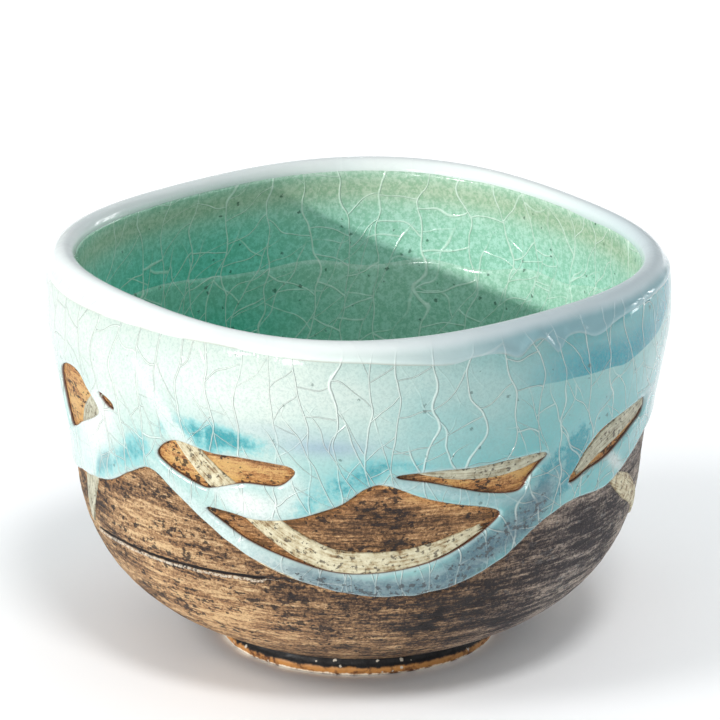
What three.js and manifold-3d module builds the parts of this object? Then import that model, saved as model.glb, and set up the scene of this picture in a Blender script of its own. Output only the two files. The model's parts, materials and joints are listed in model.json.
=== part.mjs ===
import * as THREE from "three";
import { mergeVertices } from "three/addons/utils/BufferGeometryUtils.js";
import Module from "manifold-3d";

// A hand-thrown stoneware bowl for whisked tea. The clay body stands on a turned foot ring. Strokes of
// pale slip are brushed on the clay, and four glazes lie over them. Millimetres, +Z up, with the origin
// on the ground at the middle of the foot. Angles are in degrees about Z, from +X towards +Y.

const wasm = await Module();
wasm.setup();

// Driving dimensions
const CREST_HEIGHT = 76.5; // top of the clay lip
const CREST_RADIUS = 54.4;
const SHOULDER_HEIGHT = 62; // where the wall starts to curl in to the lip
const SHOULDER_RADIUS = 57.3;
const BELLY_HEIGHT = 36; // where the full belly has turned up into the wall
const BELLY_RADIUS = 54.2;
const BASE_HEIGHT = 5; // underside of the body
const BASE_RADIUS = 30.2;
const FLOOR_HEIGHT = 11.3; // inside of the floor
const FLOOR_RADIUS = 16;
const WALL = 3.9; // clay at the shoulder
const LOW_WALL = 4.6; // clay at the top of the belly
const FOOT_RADIUS = 26.6;
const FOOT_WALL = 5.4;

const GAP = 0.3; // between pieces that the kiln fuses together
const SLIP = 0.3; // a brushed stroke
const GLAZE = 0.7;
const EDGE = 0.55; // share of a coat's thickness that is left at its edges
const OUTER_BASE = GAP + SLIP + GAP; // the outer glaze clears the slip as well as the clay

// The plan: a soft rounded square at the lip that fades to a circle at the foot
const SQUARE = { share: 0.04, lobes: 4, towards: -6 };
const OVAL = { share: 0.012, lobes: 2, towards: 92 };
const EGG = { share: 0.004, lobes: 3, towards: -42 };
const FADE = 4.5; // power of the height at which the lobes grow

const SEGMENTS = 64; // round the bowl

// ---- The clay's section -----------------------------------------------------------------------------

// Cubic curves through [radius, height] points: a start, then two handles and an end for each curve.
function curvesThrough(points) {
  const path = new THREE.CurvePath();
  const corners = points.map(([radius, height]) => new THREE.Vector2(radius, height));
  for (let i = 0; i + 3 < corners.length; i += 3) {
    path.add(new THREE.CubicBezierCurve(...corners.slice(i, i + 4)));
  }
  return path;
}

// Outside, from the foot up to the crest of the lip
const outside = curvesThrough([
  [BASE_RADIUS, BASE_HEIGHT],
  [BASE_RADIUS + 10.8, BASE_HEIGHT + 4.6],
  [BELLY_RADIUS - 1.2, BELLY_HEIGHT - 18.5],
  [BELLY_RADIUS, BELLY_HEIGHT],
  [BELLY_RADIUS + 0.5, BELLY_HEIGHT + 7.5],
  [SHOULDER_RADIUS - 1, SHOULDER_HEIGHT - 8],
  [SHOULDER_RADIUS, SHOULDER_HEIGHT],
  [SHOULDER_RADIUS + 0.8, SHOULDER_HEIGHT + 6.4],
  [CREST_RADIUS + 2.7, CREST_HEIGHT],
  [CREST_RADIUS, CREST_HEIGHT],
]);

// Inside, from the crest down to the middle of the floor
const inside = curvesThrough([
  [CREST_RADIUS, CREST_HEIGHT],
  [CREST_RADIUS - 2.2, CREST_HEIGHT],
  [SHOULDER_RADIUS - WALL, SHOULDER_HEIGHT + 7],
  [SHOULDER_RADIUS - WALL, SHOULDER_HEIGHT + 2],
  [SHOULDER_RADIUS - WALL, SHOULDER_HEIGHT - 8],
  [BELLY_RADIUS - LOW_WALL + 1.6, BELLY_HEIGHT + 8],
  [BELLY_RADIUS - LOW_WALL, BELLY_HEIGHT],
  [BELLY_RADIUS - LOW_WALL - 2.2, BELLY_HEIGHT - 11],
  [FLOOR_RADIUS + 22, FLOOR_HEIGHT + 0.4],
  [FLOOR_RADIUS, FLOOR_HEIGHT],
  [FLOOR_RADIUS * 0.7, FLOOR_HEIGHT],
  [FLOOR_RADIUS * 0.3, FLOOR_HEIGHT],
  [0, FLOOR_HEIGHT],
]);

// How far along a face, from 0 to 1, its section passes a height.
function shareAt(face, height) {
  const rising = face === outside;
  let low = 0;
  let high = 1;
  for (let i = 0; i < 30; i++) {
    const middle = (low + high) / 2;
    const above = face.getPoint(middle).y > height;
    if (above === rising) high = middle;
    else low = middle;
  }
  return (low + high) / 2;
}

// The plan's share of the round radius at an angle and a height.
function planShare(angle, height) {
  const grown = Math.min(height / CREST_HEIGHT, 1) ** FADE;
  let share = 0;
  for (const wave of [SQUARE, OVAL, EGG]) {
    share += wave.share * Math.cos(THREE.MathUtils.degToRad(wave.lobes * (angle - wave.towards)));
  }
  return 1 + grown * share;
}

// A point that stands off the clay, square to its section.
function standOff(face, share, angle, offset) {
  const point = face.getPoint(share);
  const along = face.getTangent(share);
  const radius = Math.max(point.x + along.y * offset, 0);
  const height = point.y - along.x * offset;
  const turn = THREE.MathUtils.degToRad(angle);
  const plan = radius * planShare(angle, height);
  return new THREE.Vector3(plan * Math.cos(turn), plan * Math.sin(turn), height);
}

// ---- Tools that shape geometry ----------------------------------------------------------------------

// Moves each point of a geometry and leaves only its positions, with shared points merged.
function reshape(geometry, place) {
  const at = geometry.getAttribute("position");
  const point = new THREE.Vector3();
  for (let i = 0; i < at.count; i++) {
    point.copy(place(point.fromBufferAttribute(at, i)));
    at.setXYZ(i, point.x, point.y, point.z);
  }
  geometry.deleteAttribute("normal");
  geometry.deleteAttribute("uv");
  return mergeVertices(geometry, 1e-4);
}

// A lathe about Z.
function turned(profile) {
  return new THREE.LatheGeometry(profile, SEGMENTS).rotateX(Math.PI / 2);
}

function angleOf(point) {
  return THREE.MathUtils.radToDeg(Math.atan2(point.y, point.x));
}

function solid(geometry) {
  return new wasm.Manifold(
    new wasm.Mesh({
      numProp: 3,
      vertProperties: new Float32Array(geometry.getAttribute("position").array),
      triVerts: new Uint32Array(geometry.index.array),
    }),
  );
}

function geometryOf(made) {
  const mesh = made.getMesh();
  const geometry = new THREE.BufferGeometry();
  geometry.setAttribute("position", new THREE.BufferAttribute(mesh.vertProperties, 3));
  geometry.setIndex(new THREE.BufferAttribute(mesh.triVerts, 1));
  return geometry;
}

// [angle, height] points laid out flat.
function flatPoints(points) {
  return points.map(([angle, height]) => new THREE.Vector3(angle, height));
}

// A smooth value by angle, through [angle, value] points that go once round.
function roundTheBowl(points) {
  const last = points.length - 1;
  const before = [points[last][0] - 360, points[last][1]];
  const after = points.slice(0, 3).map(([angle, value]) => [angle + 360, value]);
  const knots = [before, ...points, ...after];
  const slope = (i) => (knots[i + 1][1] - knots[i - 1][1]) / (knots[i + 1][0] - knots[i - 1][0]);
  return (anyAngle) => {
    let angle = anyAngle;
    if (angle < points[0][0]) angle += 360;
    let i = 1;
    while (knots[i + 1][0] < angle) i++;
    const width = knots[i + 1][0] - knots[i][0];
    const t = (angle - knots[i][0]) / width;
    const rise = knots[i + 1][1] - knots[i][1];
    const bend = (1 - t) * (slope(i) * width - rise) - t * (slope(i + 1) * width - rise);
    return knots[i][1] + t * rise + t * (1 - t) * bend;
  };
}

// A glaze ring is bent from a blank tube. The blank's radius tells the under face (1) from the top face
// (2), and its height runs from 0 at the first edge to 1 at the last.
function blankTube(steps) {
  const profile = [];
  for (let i = 0; i <= steps; i++) profile.push(new THREE.Vector2(2, i / steps));
  for (let i = steps; i >= 0; i--) profile.push(new THREE.Vector2(1, i / steps));
  profile.push(profile[0].clone());
  return turned(profile);
}

// A glaze's thickness at a point of its blank: none on the under face, and thinner at the two edges.
function thicknessAt(point) {
  if (Math.hypot(point.x, point.y) < 1.5) return 0;
  const atEdge = Math.abs(point.z - 0.5) > 0.49;
  return atEdge ? GLAZE * EDGE : GLAZE;
}

// A glaze on one face of the clay. Its two edges are shares of the face by angle.
function coat(face, firstEdge, lastEdge, steps, base) {
  return reshape(blankTube(steps), (point) => {
    const angle = angleOf(point);
    const share = THREE.MathUtils.lerp(firstEdge(angle), lastEdge(angle), point.z);
    return standOff(face, share, angle, base + thicknessAt(point));
  });
}

// ---- Clay -------------------------------------------------------------------------------------------

// One thrown piece: the wall, the lip and the floor. The last inside curve is the flat of the floor.
function clayBody() {
  const stepsOutside = 5; // for each curve
  const stepsInside = 6;
  const profile = [new THREE.Vector2(0, BASE_HEIGHT)];
  for (const curve of outside.curves) profile.push(...curve.getPoints(stepsOutside).slice(0, -1));
  for (const curve of inside.curves.slice(0, -1)) profile.push(...curve.getPoints(stepsInside).slice(0, -1));
  profile.push(new THREE.Vector2(FLOOR_RADIUS, FLOOR_HEIGHT));
  profile.push(new THREE.Vector2(0, FLOOR_HEIGHT));
  return reshape(turned(profile), (point) => {
    const share = planShare(angleOf(point), point.z);
    return point.set(point.x * share, point.y * share, point.z);
  });
}

// The foot is turned from its own coil of clay. A groove undercuts it just below the body.
function footRing() {
  const top = BASE_HEIGHT - GAP;
  const chamfer = 0.6;
  const bulge = 0.3;
  const groove = 0.5;
  const draft = 1; // the inside leans in towards the body
  const inner = FOOT_RADIUS - FOOT_WALL;
  const profile = [
    [FOOT_RADIUS - chamfer, 0],
    [FOOT_RADIUS, chamfer],
    [FOOT_RADIUS + bulge, top * 0.4],
    [FOOT_RADIUS - groove, top * 0.6],
    [FOOT_RADIUS - groove, top],
    [inner - draft, top],
    [inner, chamfer],
    [inner + chamfer, 0],
    [FOOT_RADIUS - chamfer, 0],
  ].map(([radius, height]) => new THREE.Vector2(radius, height));
  return reshape(turned(profile), (point) => point);
}

// ---- Slip strokes -----------------------------------------------------------------------------------

// A flat strip that follows a line of [angle, height] points over the outside of the clay. One degree
// is close to one millimetre there, so the strip's width is measured in both alike.
function slipStroke(width, line, fullness = () => 1) {
  const stepLength = 3;
  const bluntness = 0.35; // power that rounds the two ends; the bare end keeps a little width
  const endShare = 0.04;
  const centre = new THREE.CatmullRomCurve3(flatPoints(line));
  const steps = Math.round(centre.getLength() / stepLength);
  return reshape(new THREE.BoxGeometry(1, 1, 1, steps, 2, 1), (point) => {
    const along = point.x + 0.5;
    const middle = centre.getPoint(along);
    const ahead = centre.getTangent(along);
    const rounded = Math.max(Math.sin(Math.PI * along), endShare) ** bluntness;
    const across = point.y * width * rounded * fullness(along);
    const angle = middle.x + ahead.y * across;
    const height = middle.y - ahead.x * across;
    const offset = GAP + SLIP * (0.5 - point.z);
    return standOff(outside, shareAt(outside, height), angle, offset);
  });
}

// A stroke that is broadest a third of the way along and runs dry towards its end
const runningDry = (along) => 1.15 - 0.9 * Math.abs(along - 0.35);

const slipStrokes = {
  slip_stroke_sweep: slipStroke(4.8, [
    [-136, 68], [-129, 60.5], [-121, 51], [-112, 44], [-104, 38], [-96, 34.2], [-87, 33.4], [-76, 35],
    [-66, 38.8],
  ]),
  slip_stroke_loop: slipStroke(3.6, [
    [-133, 49.5], [-124, 42.8], [-112, 35], [-98, 30], [-84, 28.6], [-72, 30.4], [-62, 35.4], [-52, 43.6],
    [-44, 53], [-36, 60],
  ]),
  slip_stroke_front_low: slipStroke(2.6, [
    [-86, 50], [-80, 49.2], [-74, 47.6], [-67, 45.1], [-61, 43.9], [-56, 44.6], [-54, 46.6],
  ]),
  slip_stroke_front_high: slipStroke(3, [[-79, 52.2], [-71, 50.9], [-62, 50.4], [-51, 51.8]]),
  slip_stroke_right: slipStroke(4.8, [[-43, 45.5], [-37, 49.2], [-28, 52], [-14, 55.6]]),
  slip_stroke_right_tail: slipStroke(4.4, [[-31, 41], [-22, 36.4], [-14, 31.6], [-7, 26]], runningDry),
  slip_stroke_left: slipStroke(7.5, [[-148, 58], [-153, 51], [-156, 43], [-159, 35], [-161, 29]], runningDry),
  slip_stroke_back_sweep: slipStroke(4.2, [[6, 61], [16, 51], [28, 42], [42, 35.8], [58, 34], [74, 38]]),
  slip_stroke_back_high: slipStroke(3.4, [[44, 52.4], [56, 50.2], [68, 50.2], [80, 52.6]]),
  slip_stroke_back_left: slipStroke(4.6, [[104, 44], [116, 49.4], [128, 56], [140, 64]]),
  slip_stroke_back_tail: slipStroke(4.2, [[118, 39], [129, 34.2], [140, 29.4], [149, 24.5]], runningDry),
};

// ---- Glazes -----------------------------------------------------------------------------------------

// Heights by angle, once round: the scalloped edge where the outer glaze stopped running, the line where
// the white lip glaze overlaps it, and the line inside where the deep green of the well begins.
const runEdge = roundTheBowl([
  [-172, 36.5], [-160, 38.5], [-147, 41], [-140, 44.6], [-134, 47], [-127, 43], [-116, 35.6], [-105, 30.6],
  [-95, 27.6], [-84, 26.2], [-73, 27], [-61, 31.6], [-52, 37.2], [-45, 39.6], [-32, 39.8], [-24, 42.6],
  [-14, 46], [0, 46.6], [14, 41.6], [28, 35], [42, 30.2], [56, 28.2], [70, 31], [82, 37], [94, 42.6],
  [106, 43], [118, 39], [132, 34.4], [148, 32.6], [162, 34],
]);
const lipLine = roundTheBowl([
  [-165, 72.6], [-135, 73.6], [-114, 74.6], [-96, 74], [-72, 74], [-58, 72.8], [-48, 71.2], [-38, 72.6],
  [-20, 73.6], [10, 73], [40, 74.2], [75, 73], [110, 73.8], [140, 72.6], [165, 73.4],
]);
const wellLine = roundTheBowl([
  [-170, 57.6], [-130, 58.8], [-90, 57.2], [-50, 58.4], [-10, 59.8], [27, 61.2], [50, 58.4], [76, 57],
  [96, 56.4], [112, 56.6], [140, 58.2],
]);
const LINING_TOP = 74.6; // where the white lip glaze gives way to the green lining

// Openings in the outer glaze, where bare clay and slip show: outlines of [angle, height] points.
const windows = {
  left: [
    [-168, 51], [-167.4, 57], [-163, 59.6], [-158, 60.5], [-155, 60], [-152.6, 58], [-149, 55.8],
    [-148.4, 54.9], [-150, 53.4], [-158, 49.6], [-162, 47.6], [-166, 46.6],
  ],
  leftDrop: [[-148, 58.6], [-146.4, 58.5], [-143.2, 57.4], [-143, 56.6], [-145.4, 56.8]],
  frontLeft: [
    [-131.2, 50.8], [-130, 52.6], [-127.4, 54.2], [-125, 54.6], [-118, 53.6], [-113, 53.7], [-106, 53.3],
    [-102.6, 52.8], [-101.8, 52], [-104, 49.4], [-105.6, 48.8], [-112, 48.6], [-118, 46.8], [-120, 46.3],
    [-121.4, 46.5], [-125, 47.6], [-129, 49.2],
  ],
  frontMiddle: [
    [-120.4, 42], [-116, 41.9], [-110, 41.1], [-102.5, 42], [-97, 43.9], [-93, 45.6], [-89, 48.6],
    [-86.4, 49.6], [-84.6, 49.4], [-78, 46.5], [-72, 44.6], [-65, 42.9], [-62.4, 41.9], [-61.8, 41.2],
    [-64.4, 38.8], [-69, 36], [-76, 33.2], [-86, 31.6], [-94, 31.6], [-103, 33.8], [-112, 37],
    [-116.5, 39.5],
  ],
  frontRight: [
    [-83, 51.2], [-75, 51.8], [-68, 51.6], [-60, 51.9], [-53, 51.9], [-52, 51.5], [-54, 49.7],
    [-56, 47.6], [-57.2, 45.7], [-58.6, 45.2], [-65, 46.1], [-70, 47.6], [-76, 49.5],
  ],
  right: [
    [-45.4, 44.2], [-43.4, 47.2], [-41, 50.1], [-37, 52.6], [-30, 53.9], [-22, 54.3], [-20.6, 53.8],
    [-20.2, 51.4], [-25, 49.6], [-29, 48.1], [-32, 46.9], [-36, 45.8], [-40, 45.2], [-44, 43.9],
  ],
  backRight: [
    [12, 48.6], [14, 50], [20, 50.2], [30, 45], [42, 40.6], [56, 38.8], [65, 40], [66.6, 39.4],
    [60, 34.8], [46, 34.2], [30, 39.6], [18, 45.4],
  ],
  backHigh: [[45, 49.6], [47, 51], [56, 53.4], [70, 53.2], [80, 52], [81, 51.2], [74, 47.4], [60, 46.2]],
  backLeft: [
    [105, 48.6], [107, 50.4], [116, 54.6], [126, 58.2], [130.6, 56], [131, 54.6], [124, 50], [114, 46.6],
  ],
};

// A window's outline, smoothed and extruded, then bent on to the bowl so that its walls stand square to
// the clay. It starts inside the clay and ends far enough out for its flat outer face to clear the glaze.
function windowCutter(outline) {
  const reach = { from: -6, to: 25 };
  const stepsPerPoint = 2;
  const smooth = new THREE.CatmullRomCurve3(flatPoints(outline), true, "centripetal");
  const round = smooth.getPoints(outline.length * stepsPerPoint).slice(0, -1);
  const shape = new THREE.Shape(round.map(({ x, y }) => new THREE.Vector2(x, y)));
  const prism = new THREE.ExtrudeGeometry(shape, { depth: 1, bevelEnabled: false, steps: 1 });
  return reshape(prism, (point) => {
    const offset = THREE.MathUtils.lerp(reach.from, reach.to, point.z);
    return standOff(outside, shareAt(outside, point.y), point.x, offset);
  });
}

function outerGlaze() {
  const steps = 7;
  const first = (angle) => shareAt(outside, runEdge(angle));
  const last = (angle) => shareAt(outside, lipLine(angle) - GAP);
  let glaze = solid(coat(outside, first, last, steps, OUTER_BASE));
  for (const outline of Object.values(windows)) glaze = glaze.subtract(solid(windowCutter(outline)));
  return geometryOf(glaze);
}

// The white glaze goes over the lip, from the outer glaze to the green lining. Half of its blank lies
// outside the crest and half inside.
function lipGlaze() {
  const steps = 8;
  const end = shareAt(inside, LINING_TOP);
  return reshape(blankTube(steps), (point) => {
    const angle = angleOf(point);
    const across = point.z * 2;
    const isOutside = across <= 1;
    const start = shareAt(outside, lipLine(angle));
    const share = isOutside ? THREE.MathUtils.lerp(start, 1, across) : (across - 1) * end;
    const base = THREE.MathUtils.lerp(OUTER_BASE, GAP, point.z);
    return standOff(isOutside ? outside : inside, share, angle, base + thicknessAt(point));
  });
}

// The green lining runs from the lip glaze to the well line, with the deeper green below it.
function innerGlaze() {
  const steps = 4;
  const first = () => shareAt(inside, LINING_TOP - GAP);
  const last = (angle) => shareAt(inside, wellLine(angle) + GAP);
  return coat(inside, first, last, steps, GAP);
}

// The well glaze covers the lower wall and the floor, where it is thickest. Its blank is a disc: the
// radius runs from the middle of the floor to the well line, and the height tells under face from top.
function wellGlaze() {
  const steps = 7;
  const pooled = 0.8; // extra thickness in the middle of the floor
  const disc = [new THREE.Vector2(0, 0)];
  for (let i = 1; i <= steps; i++) disc.push(new THREE.Vector2(i / steps, 0));
  for (let i = steps; i >= 1; i--) disc.push(new THREE.Vector2(i / steps, 1));
  disc.push(new THREE.Vector2(0, 1));
  return reshape(turned(disc), (point) => {
    const angle = angleOf(point);
    const outward = Math.hypot(point.x, point.y);
    const share = THREE.MathUtils.lerp(1, shareAt(inside, wellLine(angle)), outward);
    const atEdge = outward > 0.99;
    const full = atEdge ? GLAZE * EDGE : GLAZE + pooled * (1 - outward) ** 2;
    return standOff(inside, share, angle, GAP + (point.z > 0.5 ? full : 0));
  });
}

// ---- Assembly ---------------------------------------------------------------------------------------

const FINISHES = {
  clay: { color: 0x8d6b4c, roughness: 0.85, metalness: 0 },
  foot: { color: 0x4a3422, roughness: 0.8, metalness: 0 },
  slip: { color: 0xcfc29b, roughness: 0.75, metalness: 0 },
  aqua: { color: 0xb5dcd8, roughness: 0.12, metalness: 0 },
  white: { color: 0xe6e8ec, roughness: 0.1, metalness: 0 },
  celadon: { color: 0xa8d4b4, roughness: 0.12, metalness: 0 },
  deepGreen: { color: 0x3f8f74, roughness: 0.12, metalness: 0 },
};

const bowl = new THREE.Group();

function place(name, geometry, finish) {
  geometry.computeVertexNormals();
  const mesh = new THREE.Mesh(geometry, new THREE.MeshStandardMaterial(FINISHES[finish]));
  mesh.name = name;
  bowl.add(mesh);
}

place("clay_body", clayBody(), "clay");
place("foot_ring", footRing(), "foot");
for (const [name, geometry] of Object.entries(slipStrokes)) place(name, geometry, "slip");
place("outer_glaze", outerGlaze(), "aqua");
place("lip_glaze", lipGlaze(), "white");
place("inner_glaze", innerGlaze(), "celadon");
place("well_glaze", wellGlaze(), "deepGreen");

export default bowl;
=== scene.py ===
# The looks of a hand-thrown matcha bowl. Fine meshes stand for the CAD nodes: they follow the same section
# and plan, and add what the hand and the kiln do. Angles are in degrees about Z and lengths in millimetres
# until a point is placed, in metres. A point on a face of the clay is a row of (angle, height).
import json
import math

import bpy
import numpy as np
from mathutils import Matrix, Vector, noise
from mathutils.geometry import delaunay_2d_cdt

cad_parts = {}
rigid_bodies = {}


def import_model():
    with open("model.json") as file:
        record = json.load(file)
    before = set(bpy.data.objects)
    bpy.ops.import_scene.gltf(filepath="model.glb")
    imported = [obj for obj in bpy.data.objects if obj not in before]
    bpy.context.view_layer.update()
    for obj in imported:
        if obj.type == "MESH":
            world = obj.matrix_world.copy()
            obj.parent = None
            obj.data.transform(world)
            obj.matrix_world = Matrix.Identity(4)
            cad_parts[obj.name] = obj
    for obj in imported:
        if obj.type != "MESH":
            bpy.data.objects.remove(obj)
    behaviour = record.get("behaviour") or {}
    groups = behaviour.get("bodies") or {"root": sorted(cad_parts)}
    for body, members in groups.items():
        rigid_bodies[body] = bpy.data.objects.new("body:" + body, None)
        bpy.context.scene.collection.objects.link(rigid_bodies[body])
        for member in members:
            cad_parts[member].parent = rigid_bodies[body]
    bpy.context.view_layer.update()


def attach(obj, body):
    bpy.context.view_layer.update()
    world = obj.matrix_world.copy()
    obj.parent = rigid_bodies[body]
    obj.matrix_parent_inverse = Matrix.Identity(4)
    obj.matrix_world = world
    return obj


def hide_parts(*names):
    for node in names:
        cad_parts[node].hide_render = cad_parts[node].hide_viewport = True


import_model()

MM = 0.001


def add_object(name, data):
    one = bpy.data.objects.new(name, data)
    bpy.context.scene.collection.objects.link(one)
    return one



# ---- Camera ----

VIEW_ELEVATION = math.radians(18.92)
VIEW_DISTANCE = 1.127
VIEW_CENTRE = Vector((0, 0, 0.05442))


def add_camera():
    data = bpy.data.cameras.new("camera")
    data.lens = 294.6
    data.sensor_width = 36
    data.shift_x = 0.002
    data.clip_start = 0.05
    camera = add_object("camera", data)
    back = Vector((0, -math.cos(VIEW_ELEVATION), math.sin(VIEW_ELEVATION)))
    camera.location = VIEW_CENTRE + back * VIEW_DISTANCE
    camera.rotation_euler = (math.pi / 2 - VIEW_ELEVATION, 0, 0)
    bpy.context.scene.camera = camera


add_camera()

# ---- The clay's shape, as in the CAD part ----

CREST_HEIGHT = 76.5
CREST_RADIUS = 54.4
SHOULDER_HEIGHT = 62
SHOULDER_RADIUS = 57.3
BELLY_HEIGHT = 36
BELLY_RADIUS = 54.2
BASE_HEIGHT = 5
BASE_RADIUS = 30.2
FLOOR_HEIGHT = 11.3
FLOOR_RADIUS = 16
WALL = 3.9
LOW_WALL = 4.6
FOOT_RADIUS = 26.6
FOOT_WALL = 5.4
LINING_TOP = 74.6

# The looks' wall is this much fuller towards the lip, growing from the first height to the second. It makes
# up for the gaps that the part keeps between its pieces.
FULLER = 0.5
FULLER_OUTSIDE = (34, 60)
FULLER_INSIDE = (72, 77.2)

# The plan: (share, lobes, towards) of each wave round the lip, which fade to a circle at the foot
PLAN_WAVES = ((0.04, 4, -6), (0.012, 2, 92), (0.004, 3, -42))
PLAN_FADE = 4.5


def wrapped(angle):
    """The same angle between -180 and 180."""
    return (angle + 180) % 360 - 180


def rows_of(*columns):
    """Rows of numbers, from their columns."""
    return np.stack(np.broadcast_arrays(*columns), axis=-1)


def once_round(columns):
    """Evenly spaced angles round the bowl."""
    return np.linspace(-180, 180, columns, endpoint=False)


def length_of(rows):
    return np.hypot(rows[:, 0], rows[:, 1])


def run_along(path):
    """How far along a path each of its points lies."""
    return np.append(0, np.cumsum(length_of(np.diff(path, axis=0))))


class Section:
    """One face of the clay in section: cubic curves through (radius, height) corners, read by their share
    of its length."""

    STEPS = 200

    def __init__(self, corners):
        t = np.linspace(0, 1, self.STEPS)[:, None]
        path = [np.array(corners[:1], float)]
        for i in range(0, len(corners) - 1, 3):
            a, b, c, d = np.array(corners[i : i + 4], float)
            curve = (1 - t) ** 3 * a + 3 * t * (1 - t) ** 2 * b + 3 * t**2 * (1 - t) * c + t**3 * d
            path.append(curve[1:])
        self.path = np.concatenate(path)
        run = run_along(self.path)
        self.length = run[-1]
        self.share = run / self.length
        along = np.gradient(self.path, run, axis=0)
        self.along = along / length_of(along)[:, None]

    def height_at(self, share):
        return np.interp(share, self.share, self.path[:, 1])

    def share_at(self, height):
        order = np.argsort(self.path[:, 1], kind="stable")
        return np.interp(height, self.path[order, 1], self.share[order])


outside = Section([
    (BASE_RADIUS, BASE_HEIGHT),
    (BASE_RADIUS + 10.8, BASE_HEIGHT + 4.6),
    (BELLY_RADIUS - 1.2, BELLY_HEIGHT - 18.5),
    (BELLY_RADIUS, BELLY_HEIGHT),
    (BELLY_RADIUS + 0.5, BELLY_HEIGHT + 7.5),
    (SHOULDER_RADIUS - 1, SHOULDER_HEIGHT - 8),
    (SHOULDER_RADIUS, SHOULDER_HEIGHT),
    (SHOULDER_RADIUS + 0.8, SHOULDER_HEIGHT + 6.4),
    (CREST_RADIUS + 2.7, CREST_HEIGHT),
    (CREST_RADIUS, CREST_HEIGHT),
])
inside = Section([
    (CREST_RADIUS, CREST_HEIGHT),
    (CREST_RADIUS - 2.2, CREST_HEIGHT),
    (SHOULDER_RADIUS - WALL, SHOULDER_HEIGHT + 7),
    (SHOULDER_RADIUS - WALL, SHOULDER_HEIGHT + 2),
    (SHOULDER_RADIUS - WALL, SHOULDER_HEIGHT - 8),
    (BELLY_RADIUS - LOW_WALL + 1.6, BELLY_HEIGHT + 8),
    (BELLY_RADIUS - LOW_WALL, BELLY_HEIGHT),
    (BELLY_RADIUS - LOW_WALL - 2.2, BELLY_HEIGHT - 11),
    (FLOOR_RADIUS + 22, FLOOR_HEIGHT + 0.4),
    (FLOOR_RADIUS, FLOOR_HEIGHT),
    (FLOOR_RADIUS * 0.7, FLOOR_HEIGHT),
    (FLOOR_RADIUS * 0.3, FLOOR_HEIGHT),
    (0, FLOOR_HEIGHT),
])


def plan_share(angle, height):
    """The plan's share of the round radius."""
    grown = np.clip(height / CREST_HEIGHT, 0, 1) ** PLAN_FADE
    waves = sum(share * np.cos(np.radians(lobes * (angle - towards))) for share, lobes, towards in PLAN_WAVES)
    return 1 + grown * waves


def placed(radius, height, angle):
    """Points in metres."""
    turn = np.radians(angle)
    plan = np.maximum(radius, 0) * plan_share(angle, height)
    return MM * rows_of(plan * np.cos(turn), plan * np.sin(turn), height)


def stand_off(face, share, angle, offset):
    """Points that stand off the clay, square to its section, in metres."""
    radius, height = (np.interp(share, face.share, column) for column in face.path.T)
    along_out, along_up = (np.interp(share, face.share, column) for column in face.along.T)
    offset = offset + FULLER * ease(height, *(FULLER_OUTSIDE if face is outside else FULLER_INSIDE))
    return placed(radius + along_up * offset, height - along_out * offset, angle)


# ---- Curves and soft values ----


def spline(times, values):
    """A smooth curve through the values. Each slope looks at the neighbours on both sides."""
    slopes = np.gradient(values, times, axis=0)

    def read(at):
        i = np.clip(np.searchsorted(times, at) - 1, 0, len(times) - 2)
        width = times[i + 1] - times[i]
        t = (at - times[i]) / width
        if values.ndim > 1:
            t, width = t[:, None], width[:, None]
        rise = values[i + 1] - values[i]
        bend = (1 - t) * (slopes[i] * width - rise) - t * (slopes[i + 1] * width - rise)
        return values[i] + t * rise + t * (1 - t) * bend

    return read


def round_the_bowl(points):
    """A smooth value by angle, through (angle, value) points that go once round."""
    knots = np.array(points, float)
    knots = np.concatenate([knots[-3:] - (360, 0), knots, knots[:3] + (360, 0)])
    curve = spline(knots[:, 0], knots[:, 1])
    first = points[0][0]
    return lambda angle: curve((angle - first) % 360 + first)


def smooth_line(corners, spacing, closed=False):
    """Evenly spaced points along a smooth curve through (angle, height) corners."""
    knots = np.array(corners, float)
    if closed:
        knots = np.concatenate([knots[-3:], knots, knots[:4]])
    times = np.append(0, np.cumsum(np.sqrt(length_of(np.diff(knots, axis=0)))))
    first, last = (3, 3 + len(corners)) if closed else (0, -1)
    steps_per_corner, fewest = 40, 6
    dense = spline(times, knots)(np.linspace(times[first], times[last], steps_per_corner * len(corners)))
    run = run_along(dense)
    even = np.linspace(0, run[-1], max(round(run[-1] / spacing), fewest) + 1)
    line = rows_of(*(np.interp(even, run, column) for column in dense.T))
    return line[:-1] if closed else line


def ease(value, low, high):
    """0 below low and 1 above high, with a soft change between."""
    t = np.clip((value - low) / (high - low), 0, 1)
    return t * t * (3 - 2 * t)


def noise_at(points, size, seed=0.0, flatten=1.0):
    """Smooth noise from -1 to 1 on the bowl's wall. Size is the distance between its lumps."""
    radius = BELLY_RADIUS / size
    turn = np.radians(points[:, 0])
    rows = rows_of(radius * np.cos(turn), radius * np.sin(turn), points[:, 1] * flatten / size + seed)
    return np.array([noise.noise(row) for row in rows])


def spots(points, marks):
    """Soft patches, each (angle, height, half width, half height, tilt, strength)."""
    total = np.zeros(len(points))
    for angle, height, wide, tall, tilt, strength in marks:
        across = wrapped(points[:, 0] - angle)
        up = points[:, 1] - height
        cos, sin = math.cos(math.radians(tilt)), math.sin(math.radians(tilt))
        reach = ((across * cos + up * sin) / wide) ** 2 + ((up * cos - across * sin) / tall) ** 2
        total += strength * np.exp(-reach)
    return total


# ---- Decoration: where the glazes end and the brush went ----

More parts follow.
